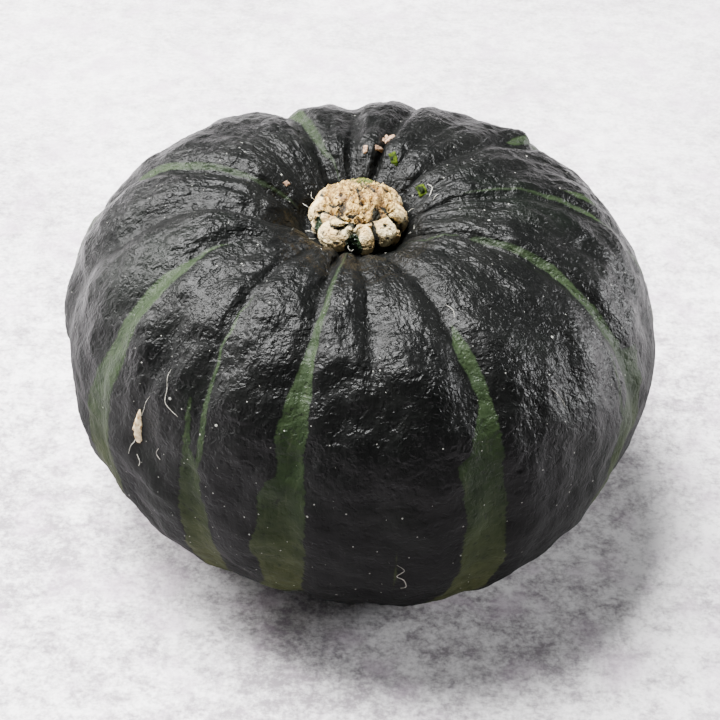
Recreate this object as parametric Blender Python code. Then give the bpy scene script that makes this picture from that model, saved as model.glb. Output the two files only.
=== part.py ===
"""Kabocha squash: one ribbed, flattened fruit with its corky stem stub seated in the top pit.

Metres, +Z up, standing on the flat at its blossom end. -Y is the side seen first.
"""
import bpy
import bmesh
import math
import numpy as np

# Driving dimensions of the fruit
BODY_RADIUS = 0.0905      # widest ring, over the lobes
WIDEST_HEIGHT = 0.0610    # height of that ring above the ground
CREST_RADIUS = 0.0390     # ring of the highest points, round the stem pit
CREST_HEIGHT = 0.1127     # height of that ring
CREST_TILT = 0.0015       # how much higher it is at the back and lower at the front
BASE_RADIUS = 0.0360      # flat the fruit rests on
PIT_RADIUS = 0.0172       # flat seat at the bottom of the stem pit
PIT_HEIGHT = 0.0970       # height of that seat
PIT_SHIFT_X = -0.0048     # the pit sits a little off the fruit's axis
PIT_SHIFT_Y = -0.0032
PIT_STEEPNESS = 5.0       # higher keeps the pit's wall gentle by the crest and steep by the seat
LOWER_ROUNDNESS = 1.96    # super-ellipse powers below and above the widest ring
UPPER_ROUNDNESS = 2.05
LOBE_CROWN = 1.8          # higher makes flatter lobes and narrower furrows
BEND_DEGREES = 14         # furrows near BEND_AZIMUTH swing round by this much as they enter the pit
BEND_AZIMUTH = 202
BEND_SPREAD = 22
BEND_START = 0.76         # where on the meridian that swing starts, and how much of the meridian it takes
BEND_LENGTH = 0.12
PLAN_UNEVENNESS = 0.0175  # how far the outline seen from above leans towards a rounded triangle
PLAN_TURN = 2.4           # and how far that triangle is turned, in radians

# Driving dimensions of the stem
STEM_RADIUS = 0.0152      # over the cork of the foot
STEM_HEIGHT = 0.0175      # from its seat to the top of the dome
STEM_RIBS = 9
STEM_RIB_SHARE = 0.035    # shares of the radius: ribs, out of round, lumps, and how much smaller the middle is
STEM_OVAL_SHARE = 0.025
STEM_LUMP_SHARE = 0.020
STEM_TRIM_SHARE = 0.05
DOME_WAVE_SHARE = 0.05    # share of the height
SEAT_GAP = 0.0003         # clearance between stem and seat

# Furrows round the fruit: azimuth in degrees, depth at the shoulder in mm, and how far the
# fruit swells out there in mm. 0 is +X and 90 is +Y.
FURROWS = [
    (8, 1.6, -0.8), (25, 0.5, -0.8), (43, 2.0, -0.9), (61, 0.7, -0.8), (77, 3.0, -0.3), (95, 2.2, -1.2),
    (115, 3.2, -1.8), (141, 0.9, 1.2), (166, 3.1, 1.0), (188, 3.0, 0.8), (213, 2.7, 2.4), (226, 0.6, 1.8),
    (238, 1.8, 1.5), (258, 2.9, 0.7), (273, 1.8, 0.2), (294, 2.6, 0.9), (314, 0.7, 0.5), (335, 2.6, -1.2),
    (351, 0.5, -1.0),
]

# Share of the furrow depth along the meridian, from the blossom end to the seat
DEPTH_ALONG = [(0.00, 0.0), (0.13, 0.0), (0.24, 0.34), (0.40, 0.42), (0.55, 0.60),
               (0.70, 1.00), (0.82, 1.05), (0.90, 0.92), (0.95, 0.20), (1.00, 0.0)]

# Share of the swell along the meridian
SWELL_ALONG = [(0.00, 0.0), (0.13, 0.0), (0.28, 1.0), (0.72, 1.0), (0.90, 0.0), (1.00, 0.0)]

# Share of the crest's tilt along the meridian
TILT_ALONG = [(0.00, 0.0), (0.48, 0.0), (0.75, 1.0), (0.88, 1.0), (0.95, 0.0), (1.00, 0.0)]

# Where each stretch of the meridian starts
BASE_END = 0.13
WIDEST_AT = 0.48
CREST_AT = 0.80
SEAT_AT = 0.95

COLUMNS_PER_LOBE = 5
BODY_ROWS = 40
STEM_COLUMNS = 54
STEM_ROWS = 22


def clear_scene():
    for thing in list(bpy.data.objects):
        bpy.data.objects.remove(thing, do_unlink=True)


def make_collection(name):
    collection = bpy.data.collections.new(name)
    bpy.context.scene.collection.children.link(collection)
    return collection


def make_material(name, colour, roughness):
    material = bpy.data.materials.new(name)
    material.use_nodes = True
    shader = material.node_tree.nodes["Principled BSDF"]
    shader.inputs["Base Color"].default_value = (*colour, 1.0)
    shader.inputs["Roughness"].default_value = roughness
    shader.inputs["Metallic"].default_value = 0.0
    return material


def sphere_object(name, columns, rows, collection, material):
    """A unit UV sphere, closed at both poles, ready to be moved into shape."""
    mesh = bpy.data.meshes.new(name)
    bm = bmesh.new()
    bmesh.ops.create_uvsphere(bm, u_segments=columns, v_segments=rows, radius=1.0)
    bmesh.ops.triangulate(bm, faces=bm.faces)
    bm.to_mesh(mesh)
    bm.free()
    mesh.materials.append(material)
    thing = bpy.data.objects.new(name, mesh)
    collection.objects.link(thing)
    return thing


def read_points(mesh):
    points = np.empty(len(mesh.vertices) * 3)
    mesh.vertices.foreach_get("co", points)
    return points.reshape(-1, 3)


def write_points(mesh, points):
    mesh.vertices.foreach_set("co", points.astype(np.float32).ravel())
    mesh.update()
    mesh.shade_smooth()


def sphere_parameters(points):
    """Azimuth in turns and place along the meridian, 0 at the lower pole and 1 at the upper one."""
    turns = np.arctan2(points[:, 1], points[:, 0]) / math.tau % 1.0
    along = 1.0 - np.arccos(np.clip(points[:, 2], -1.0, 1.0)) / math.pi
    return turns, along


def ease(value):
    return 0.5 - 0.5 * np.cos(math.pi * np.clip(value, 0.0, 1.0))


def body_profile(along):
    """Radius and height of the fruit without its furrows."""
    base = np.clip(along / BASE_END, 0.0, 1.0)
    lower = np.clip((along - BASE_END) / (WIDEST_AT - BASE_END), 0.0, 1.0) * math.pi / 2
    upper = np.clip((along - WIDEST_AT) / (CREST_AT - WIDEST_AT), 0.0, 1.0) * math.pi / 2
    pit = np.clip((along - CREST_AT) / (SEAT_AT - CREST_AT), 0.0, 1.0)
    seat = np.clip((along - SEAT_AT) / (1.0 - SEAT_AT), 0.0, 1.0)

    lower_cos = np.clip(np.cos(lower), 0.0, 1.0)
    upper_cos = np.clip(np.cos(upper), 0.0, 1.0)
    radius = BASE_RADIUS * base
    radius = radius + (BODY_RADIUS - BASE_RADIUS) * np.sin(lower) ** (2 / LOWER_ROUNDNESS)
    radius = radius - (BODY_RADIUS - CREST_RADIUS) * (1.0 - upper_cos ** (2 / UPPER_ROUNDNESS))
    radius = radius - (CREST_RADIUS - PIT_RADIUS) * pit
    radius = radius - PIT_RADIUS * seat
    height = WIDEST_HEIGHT * (1.0 - lower_cos ** (2 / LOWER_ROUNDNESS))
    height = height + (CREST_HEIGHT - WIDEST_HEIGHT) * np.sin(upper) ** (2 / UPPER_ROUNDNESS)
    height = height - (CREST_HEIGHT - PIT_HEIGHT) * pit ** PIT_STEEPNESS
    return radius, height


def profile_normal(along):
    """Outward direction of the profile in the radius and height plane."""
    step = 0.004
    radius_a, height_a = body_profile(np.clip(along - step, 0.0, 1.0))
    radius_b, height_b = body_profile(np.clip(along + step, 0.0, 1.0))
    out = height_b - height_a
    up = radius_a - radius_b
    length = np.maximum(np.hypot(out, up), 1e-9)
    return out / length, up / length


def lobes_round(turns):
    """Azimuth of each point, its inward offset in the furrow, and the fruit's swell there."""
    rows = FURROWS + [(FURROWS[0][0] + 360, FURROWS[0][1], FURROWS[0][2])]
    azimuths, depths, swells = np.array(rows, dtype=float).T
    place = turns * len(FURROWS) + 1e-6
    lobe = np.floor(place).astype(int) % len(FURROWS)
    across = place % 1.0
    azimuth = np.radians(azimuths[lobe] + (azimuths[lobe + 1] - azimuths[lobe]) * across)
    depth = np.where(across < 0.5, depths[lobe], depths[lobe + 1]) / 1000
    furrow = -depth * ease(np.abs(2 * across - 1) ** LOBE_CROWN)
    swell = (swells[lobe] + (swells[lobe + 1] - swells[lobe]) * across) / 1000
    return azimuth, furrow, swell


def share_along(along, table):
    places, shares = np.array(table).T
    return np.interp(along, places, shares)


def make_body(collection):
    """Rind and flesh, one solid: a turned profile, with the lobes pushed in and out along its normal."""
    material = make_material("rind", (0.020, 0.028, 0.022), 0.42)
    body = sphere_object("squash_body", COLUMNS_PER_LOBE * len(FURROWS), BODY_ROWS, collection, material)
    turns, along = sphere_parameters(read_points(body.data))
    azimuth, furrow, swell = lobes_round(turns)
    offset = furrow * share_along(along, DEPTH_ALONG) + swell * share_along(along, SWELL_ALONG)
    radius, height = body_profile(along)
    out, up = profile_normal(along)
    bend = BEND_DEGREES * np.exp(-((np.degrees(azimuth) - BEND_AZIMUTH) / BEND_SPREAD) ** 2)
    azimuth = azimuth + np.radians(bend) * ease((along - BEND_START) / BEND_LENGTH)
    plan = 1.0 + PLAN_UNEVENNESS * np.cos(3 * azimuth - PLAN_TURN)
    radius = (radius + out * offset) * plan
    height = height + up * offset + CREST_TILT * np.sin(azimuth) * share_along(along, TILT_ALONG)
    shift = ease((along - WIDEST_AT) / (SEAT_AT - WIDEST_AT))
    x = radius * np.cos(azimuth) + PIT_SHIFT_X * shift
    y = radius * np.sin(azimuth) + PIT_SHIFT_Y * shift
    write_points(body.data, np.stack([x, y, height], axis=1))
    return body


def stem_profile(along):
    """Flat seat, swollen foot, slight waist and a low dome, as shares of the stem's radius and height."""
    places = [0.00, 0.22, 0.27, 0.36, 0.48, 0.60, 0.70, 0.80, 0.90, 1.00]
    radii = [0.00, 0.84, 0.94, 1.00, 0.93, 0.94, 0.93, 0.74, 0.40, 0.00]
    heights = [0.00, 0.00, 0.07, 0.25, 0.45, 0.62, 0.78, 0.92, 0.985, 1.00]
    return np.interp(along, places, radii), np.interp(along, places, heights)


def make_stem(collection):
    """Corky stub: a short ribbed post with lumps, its flat foot just above the seat."""
    material = make_material("cork", (0.62, 0.52, 0.36), 0.85)
    stem = sphere_object("stem", STEM_COLUMNS, STEM_ROWS, collection, material)
    turns, along = sphere_parameters(read_points(stem.data))
    radius, height = stem_profile(along)
    angle = turns * math.tau
    side = np.sin(math.pi * np.clip((along - 0.22) / 0.62, 0.0, 1.0))
    ribs = STEM_RIB_SHARE * np.cos(STEM_RIBS * angle + 0.6) + STEM_OVAL_SHARE * np.cos(2 * angle + 1.1)
    lumps = STEM_LUMP_SHARE * np.sin(5 * angle + 9.0 * along) * side
    radius = STEM_RADIUS * radius * (1.0 - STEM_TRIM_SHARE + ribs * side + lumps)
    dome = DOME_WAVE_SHARE * np.cos(angle * 2 - 0.8) * np.sin(math.pi * np.clip((along - 0.5) / 0.5, 0.0, 1.0))
    height = STEM_HEIGHT * (height + dome)
    x = PIT_SHIFT_X + radius * np.cos(angle)
    y = PIT_SHIFT_Y + radius * np.sin(angle)
    write_points(stem.data, np.stack([x, y, PIT_HEIGHT + SEAT_GAP + height], axis=1))
    return stem


def stand_on_origin(body, others):
    """Moves everything so that the fruit's box is centred on Z and its base is at height 0."""
    points = read_points(body.data)
    low = points.min(axis=0)
    high = points.max(axis=0)
    shift = np.array([-(low[0] + high[0]) / 2, -(low[1] + high[1]) / 2, -low[2]])
    for thing in [body] + others:
        write_points(thing.data, read_points(thing.data) + shift)


clear_scene()
kabocha = make_collection("kabocha_squash")
squash_body = make_body(kabocha)
stem_stub = make_stem(kabocha)
stand_on_origin(squash_body, [stem_stub])
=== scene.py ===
import itertools
import math

import bpy
import numpy as np
from mathutils import Matrix, Vector


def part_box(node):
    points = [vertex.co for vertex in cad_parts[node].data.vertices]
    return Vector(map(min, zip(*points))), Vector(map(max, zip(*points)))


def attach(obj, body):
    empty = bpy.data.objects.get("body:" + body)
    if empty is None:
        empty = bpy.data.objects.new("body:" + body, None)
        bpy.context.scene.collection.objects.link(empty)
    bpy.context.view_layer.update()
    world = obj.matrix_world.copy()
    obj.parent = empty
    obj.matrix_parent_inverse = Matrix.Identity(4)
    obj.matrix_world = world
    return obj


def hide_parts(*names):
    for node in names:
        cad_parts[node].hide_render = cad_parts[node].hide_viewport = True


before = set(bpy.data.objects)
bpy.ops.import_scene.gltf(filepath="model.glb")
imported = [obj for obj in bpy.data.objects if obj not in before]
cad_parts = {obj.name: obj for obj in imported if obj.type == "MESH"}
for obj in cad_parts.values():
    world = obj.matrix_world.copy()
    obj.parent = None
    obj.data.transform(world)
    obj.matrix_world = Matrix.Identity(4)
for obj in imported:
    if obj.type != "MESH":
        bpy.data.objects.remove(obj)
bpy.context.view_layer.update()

mm = 0.001


def easeCosine(value):
    # half a cosine wave: 0 below 0, 1 above 1
    return 0.5 - 0.5 * np.cos(np.pi * np.clip(value, 0.0, 1.0))


def shareAlong(along, table):
    # straight lines between the table's points
    places, shares = np.array(table).T
    return np.interp(along, places, shares)


def softNoise(points, wavelength, seed):
    # gradient noise: a random slope at each corner of a cubic lattice, blended with a quintic ease
    random = np.random.default_rng(seed)
    order = np.tile(random.permutation(256), 2)
    slopes = random.normal(size=(256, 3))
    slopes /= np.linalg.norm(slopes, axis=1, keepdims=True)
    scaled = np.asarray(points) / wavelength
    cell = np.floor(scaled).astype(int)
    inside = scaled - cell
    blend = inside ** 3 * (inside * (inside * 6 - 15) + 10)
    total = np.zeros(scaled.shape[:-1])
    for corner in itertools.product((0, 1), repeat=3):
        at = (cell + corner) & 255
        index = order[order[order[at[..., 0]] + at[..., 1]] + at[..., 2]]
        slope = ((inside - corner) * slopes[index]).sum(axis=-1)
        weight = np.where(corner, blend, 1 - blend).prod(axis=-1)
        total += weight * slope
    return total * 1.6


def layeredNoise(points, wavelength, seed, layers=3, gain=0.5):
    # a sum of soft noises, each at half the wavelength and a share of the height of the one before
    total = 0.0
    for layer in range(layers):
        total = total + softNoise(points, wavelength / 2 ** layer, seed + layer) * gain ** layer
    return total


def surfaceNormals(shape, across, along, step=0.004):
    # cross product of the surface's two central differences
    eastward = shape(across + step, along) - shape(across - step, along)
    upward = shape(across, np.clip(along + step, 0, 1)) - shape(across, np.clip(along - step, 0, 1))
    normal = np.cross(eastward, upward)
    return normal / np.maximum(np.linalg.norm(normal, axis=-1, keepdims=True), 1e-9)


def gridFaces(columns, rows):
    # quads between neighbouring rings, which close on themselves round the axis
    lower = np.arange(rows - 1)[:, None] * columns + np.arange(columns)[None, :]
    lowerNext = np.arange(rows - 1)[:, None] * columns + (np.arange(columns)[None, :] + 1) % columns
    return np.stack([lower, lowerNext, lowerNext + columns, lower + columns], axis=-1).reshape(-1, 4)


def meshObject(name, points, faces):
    mesh = bpy.data.meshes.new(name)
    mesh.from_pydata([tuple(p) for p in np.asarray(points, dtype=float).tolist()], [], faces)
    mesh.update()
    mesh.shade_smooth()
    piece = bpy.data.objects.new(name, mesh)
    bpy.context.scene.collection.objects.link(piece)
    return piece


def closedSurface(name, rings):
    # rings of points from the lower pole up, closed by a fan of triangles at each end
    rows, columns, _ = rings.shape
    points = rings.reshape(-1, 3)
    poles = np.stack([rings[0].mean(axis=0), rings[-1].mean(axis=0)])
    around = np.arange(columns)
    onward = (around + 1) % columns
    top = (rows - 1) * columns
    below = np.stack([np.full(columns, rows * columns), onward, around], axis=-1)
    above = np.stack([np.full(columns, rows * columns + 1), top + around, top + onward], axis=-1)
    faces = gridFaces(columns, rows).tolist() + below.tolist() + above.tolist()
    return meshObject(name, np.concatenate([points, poles]), faces)


def withPoles(values):
    # a grid of values followed by those of the two poles
    return np.concatenate([values.ravel(), [values[0].mean(), values[-1].mean()]])


def addField(piece, name, values):
    # one number for each point, read by the material
    field = piece.data.attributes.new(name, "FLOAT", "POINT")
    field.data.foreach_set("value", np.asarray(values, dtype=np.float32).ravel())


# The fruit. Lengths in mm, azimuths in degrees: 0 is +X, 90 is +Y, the camera stands at 270.
fruit = {
    "columns": 440,
    "rows": 223,
    "seamAzimuth": 25,
    # how close together the rings lie along the meridian
    "density": [(0, 0.5), (0.12, 0.7), (0.2, 1), (0.6, 1), (0.75, 1.15), (0.94, 1.2), (1, 0.4)],
    "widestRadius": 90.5,
    "widestHeight": 61.0,
    "crestRadius": 39.0,
    "crestHeight": 112.7,
    "crestTilt": 1.5,
    "baseRadius": 36.0,
    "pitRadius": 14.8,
    "pitHeight": 100.8,
    "pitShift": (-4.8, -3.2),
    "pitSteepness": 2.6,
    "lowerRoundness": 1.96,
    "upperRoundness": 2.05,
    "lobeCrown": 1.8,
    "plan": (0.0175, 2.4),            # unevenness seen from above, and its turn in radians
    "bend": (14, 202, 22),            # degrees, middle azimuth and spread of the swing into the pit
    "bendAlong": (0.76, 0.12),        # where that swing starts, and how much of the meridian it takes
    "stretches": (0.13, 0.48, 0.80, 0.95),   # ends of the base, lower side, shoulder and pit wall
    # azimuth, furrow depth, swell of the whole side there
    "furrows": [
        (8, 1.6, -0.8), (25, 0.5, -0.8), (43, 2.0, -0.9), (61, 0.7, -0.8), (77, 3.0, -0.3), (95, 2.2, -1.2),
        (115, 3.2, -1.8), (141, 0.9, 1.2), (166, 3.1, 1.0), (188, 3.0, 0.8), (213, 2.7, 2.4), (226, 0.6, 1.8),
        (238, 1.8, 1.5), (258, 2.9, 0.7), (273, 1.8, 0.2), (294, 2.6, 0.9), (314, 0.7, 0.5), (335, 2.6, -1.2),
        (351, 0.5, -1.0),
    ],
    "furrowAlong": [(0.00, 0.0), (0.13, 0.0), (0.24, 0.34), (0.40, 0.42), (0.55, 0.60),
                    (0.70, 1.00), (0.82, 1.05), (0.90, 0.92), (0.95, 0.20), (1.00, 0.0)],
    "swellAlong": [(0.00, 0.0), (0.13, 0.0), (0.28, 1.0), (0.72, 1.0), (0.90, 0.0), (1.00, 0.0)],
    "tiltAlong": [(0.00, 0.0), (0.48, 0.0), (0.75, 1.0), (0.88, 1.0), (0.95, 0.0), (1.00, 0.0)],
    # relief laid over the lobes: height and wavelength
    "lumps": (1.3, 22),
    "dents": (0.85, 9.0),
    "pebbles": (0.32, 3.8),
    "creases": (0.42, 4.2),
    "creaseAlong": [(0, 0), (0.5, 0.05), (0.66, 0.35), (0.78, 1.0), (0.90, 0.9), (0.95, 0.0)],
    # azimuth, place along, radius, height: one round bud, then single knobs and hollows
    "bud": (47.3, 0.682, 3.2, 2.3),
    "knobs": [
        (266, 0.652, 5.0, -1.0), (273, 0.640, 5.5, 0.9), (277, 0.618, 4.5, -1.1),
        (282, 0.655, 5.0, 0.9), (268, 0.610, 5.0, -0.9), (287, 0.610, 6.0, -0.8), (238, 0.722, 6.0, 0.8),
        (249, 0.697, 6.0, -0.8), (224, 0.640, 5.0, -1.0), (229, 0.575, 6.0, 0.9), (220, 0.600, 5.0, 0.8),
        (204, 0.680, 8.0, -0.9), (84, 0.868, 5.5, 1.1), (316, 0.642, 8.0, -0.7), (300, 0.700, 7.0, 0.8),
        (121, 0.560, 7.0, 0.9), (152, 0.600, 7.0, -0.8), (184, 0.520, 8.0, 0.8), (20, 0.560, 8.0, -0.7),
    ],
    "scarDip": 2.2,
    "scarRadius": 9.0,
}


def turnedProfile(along):
    # super-ellipse from the base flat to the widest ring, another to the crest, a power curve into the pit
    base, lower, upper, wall = fruit["stretches"]
    baseShare = np.clip(along / base, 0, 1)
    lowTurn = np.clip((along - base) / (lower - base), 0, 1) * np.pi / 2
    highTurn = np.clip((along - lower) / (upper - lower), 0, 1) * np.pi / 2
    wallShare = np.clip((along - upper) / (wall - upper), 0, 1)
    seatShare = np.clip((along - wall) / (1 - wall), 0, 1)
    below, above = 2 / fruit["lowerRoundness"], 2 / fruit["upperRoundness"]
    lowerBulge = fruit["widestRadius"] - fruit["baseRadius"]
    upperBulge = fruit["widestRadius"] - fruit["crestRadius"]
    upperRise = fruit["crestHeight"] - fruit["widestHeight"]
    radius = fruit["baseRadius"] * baseShare
    radius = radius + lowerBulge * np.sin(lowTurn) ** below
    radius = radius - upperBulge * (1 - np.clip(np.cos(highTurn), 0, 1) ** above)
    radius = radius - (fruit["crestRadius"] - fruit["pitRadius"]) * wallShare - fruit["pitRadius"] * seatShare
    height = fruit["widestHeight"] * (1 - np.clip(np.cos(lowTurn), 0, 1) ** below)
    height = height + upperRise * np.sin(highTurn) ** above
    height = height - (fruit["crestHeight"] - fruit["pitHeight"]) * wallShare ** fruit["pitSteepness"]
    return radius, height


def lobeShape(azimuth):
    # each lobe is flat on its crown and falls in a rounded curve into the furrows on both sides
    rows = np.array(fruit["furrows"] + [tuple(np.add(fruit["furrows"][0], (360, 0, 0)))], dtype=float)
    degrees = (np.degrees(azimuth) - rows[0, 0]) % 360 + rows[0, 0]
    lobe = np.clip(np.searchsorted(rows[:, 0], degrees, side="right") - 1, 0, len(rows) - 2)
    across = (degrees - rows[lobe, 0]) / (rows[lobe + 1, 0] - rows[lobe, 0])
    depth = np.where(across < 0.5, rows[lobe, 1], rows[lobe + 1, 1])
    furrow = easeCosine(np.abs(2 * across - 1) ** fruit["lobeCrown"])
    swell = rows[lobe, 2] + (rows[lobe + 1, 2] - rows[lobe, 2]) * across
    return furrow, depth, swell


def fruitBase(azimuth, along):
    # the turned profile, pushed along its normal by furrow and swell, then leaned, bent and shifted
    radius, height = turnedProfile(along)
    lowRadius, lowHeight = turnedProfile(np.clip(along - 0.004, 0, 1))
    highRadius, highHeight = turnedProfile(np.clip(along + 0.004, 0, 1))
    out = highHeight - lowHeight
    up = lowRadius - highRadius
    length = np.maximum(np.hypot(out, up), 1e-9)
    furrow, depth, swell = lobeShape(azimuth)
    offset = swell * shareAlong(along, fruit["swellAlong"])
    offset = offset - furrow * depth * shareAlong(along, fruit["furrowAlong"])
    bend, middle, spread = fruit["bend"]
    swing = bend * np.exp(-((np.degrees(azimuth) % 360 - middle) / spread) ** 2)
    start, stretch = fruit["bendAlong"]
    azimuth = azimuth + np.radians(swing) * easeCosine((along - start) / stretch)
    unevenness, turn = fruit["plan"]
    plan = 1 + unevenness * np.cos(3 * azimuth - turn)
    radius = (radius + out / length * offset) * plan
    height = height + up / length * offset
    height = height + fruit["crestTilt"] * np.sin(azimuth) * shareAlong(along, fruit["tiltAlong"])
    _, lower, _, wall = fruit["stretches"]
    shift = easeCosine((along - lower) / (wall - lower))
    x = radius * np.cos(azimuth) + fruit["pitShift"][0] * shift
    y = radius * np.sin(azimuth) + fruit["pitShift"][1] * shift
    return np.stack([x, y, height], axis=-1)


def distanceFrom(knob, points):
    # distance to the knob's middle in its own radii, and the knob's height
    turn, place, radius, height = knob
    centre = fruitBase(np.radians(turn), np.array(place))
    return np.linalg.norm(points - centre, axis=-1) / radius, height


def skinRelief(points, azimuth, along):
    # lumps, dents and ridged pebbles in space, creases that run with the meridians near the crest, and
    # bell-shaped knobs, the bud with a flatter bell
    warped = points + 1.5 * np.stack([softNoise(points, 7, seed) for seed in (31, 32, 33)], axis=-1)
    relief = fruit["lumps"][0] * softNoise(points, fruit["lumps"][1], 1)
    relief = relief + fruit["dents"][0] * softNoise(warped, fruit["dents"][1], 2)
    grain = layeredNoise(warped * (1.0, 1.0, 0.75), fruit["pebbles"][1], 3, layers=2)
    relief = relief + fruit["pebbles"][0] * (0.45 - 1.6 * np.abs(grain))
    ring = fruit["crestRadius"] / fruit["creases"][1]
    strands = np.stack([ring * np.cos(azimuth), ring * np.sin(azimuth), along * 9], axis=-1)
    strands = strands + 0.25 * softNoise(points, 12, 9)[..., None]
    crease = shareAlong(along, fruit["creaseAlong"])
    relief = relief + fruit["creases"][0] * crease * (0.4 - np.abs(softNoise(strands, 1.0, 5)) * 1.6)
    for knob in fruit["knobs"]:
        away, height = distanceFrom(knob, points)
        relief = relief + height * np.exp(-away ** 2)
    away, height = distanceFrom(fruit["bud"], points)
    relief = relief + height * np.exp(-away ** 2) * (1 + away ** 2)
    keepFlat = easeCosine((along - 0.10) / 0.10) * (1 - easeCosine((along - 0.93) / 0.03))
    return relief * keepFlat


def blossomScar(points, along):
    # a shallow dish under the fruit with a low corky button in its middle
    scar = fruit["scarRadius"]
    distance = np.hypot(points[..., 0], points[..., 1])
    dish = fruit["scarDip"] * (1 - easeCosine(distance / (fruit["baseRadius"] * 0.85)))
    button = 0.66 * (1 - easeCosine((distance - scar * 0.55) / (scar * 0.45)))
    ridges = 0.35 * layeredNoise(points, 3.0, 61) * (1 - easeCosine((distance - scar) / 5))
    return np.where(along < fruit["stretches"][0], dish - button + ridges, 0.0)


def rawFruitSkin(azimuth, along):
    # the lobed body moved along its normal by the relief of the skin, and dished under the base
    base = fruitBase(azimuth, along)
    normal = surfaceNormals(fruitBase, azimuth, along)
    skin = base + normal * skinRelief(base, azimuth, along)[..., None]
    skin[..., 2] += blossomScar(base, along)
    return skin


def evenAlong(rows):
    # places along the meridian at equal steps of its length, closer together on the shoulder and the wall
    along = np.linspace(0, 1, 4000)
    radius, height = turnedProfile(along)
    step = np.hypot(np.diff(radius), np.diff(height))
    middle = (along[1:] + along[:-1]) / 2
    step = step * shareAlong(middle, fruit["density"])
    length = np.concatenate([[0], np.cumsum(step)])
    return np.interp(np.linspace(0.004, 0.996, rows) * length[-1], length, along)


def skinMap(piece, columns, rows, width, lengths):
    # UV in metres: round the fruit on U, up the meridian on V, with its one seam on the first column
    mesh = piece.data
    starts = np.empty(len(mesh.loops), dtype=np.int64)
    mesh.loops.foreach_get("vertex_index", starts)
    column = np.where(starts < columns * rows, starts % columns, 0).astype(float)
    poleRow = np.where(starts == columns * rows, 0, rows - 1)
    row = np.where(starts < columns * rows, starts // columns, poleRow)
    isQuad = np.arange(len(starts)) < 4 * columns * (rows - 1)
    corner = np.arange(len(starts)) % 4
    closing = isQuad & ((corner == 1) | (corner == 2)) & (column == 0)
    column[closing] = columns
    uv = np.stack([column / columns * width, lengths[row]], axis=-1)
    layer = mesh.uv_layers.new(name="skinMap")
    layer.data.foreach_set("uv", uv.astype(np.float32).ravel())


def fitToNode(shape, node, azimuths, alongs):
    # the scale and shift that bring the shape's box onto the CAD node's box
    low, high = (np.array(corner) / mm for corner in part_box(node))
    points = shape(azimuths, alongs).reshape(-1, 3)
    scale = (high - low) / (points.max(axis=0) - points.min(axis=0))
    shift = low - points.min(axis=0) * scale
    return scale, shift


print("fitting the fruit to its frame")
fitGrid = np.meshgrid(np.arange(fruit["columns"]) / fruit["columns"] * math.tau, evenAlong(fruit["rows"]))
fitScale, fitShift = fitToNode(rawFruitSkin, "squash_body", *fitGrid)
profile = turnedProfile(np.linspace(0, 1, 2000))
meridianLength = np.hypot(np.diff(profile[0]), np.diff(profile[1])).sum()


def fruitSkin(azimuth, along):
    # the finished skin in metres, inside the frame's box
    return (rawFruitSkin(azimuth, along) * fitScale + fitShift) * mm


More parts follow.
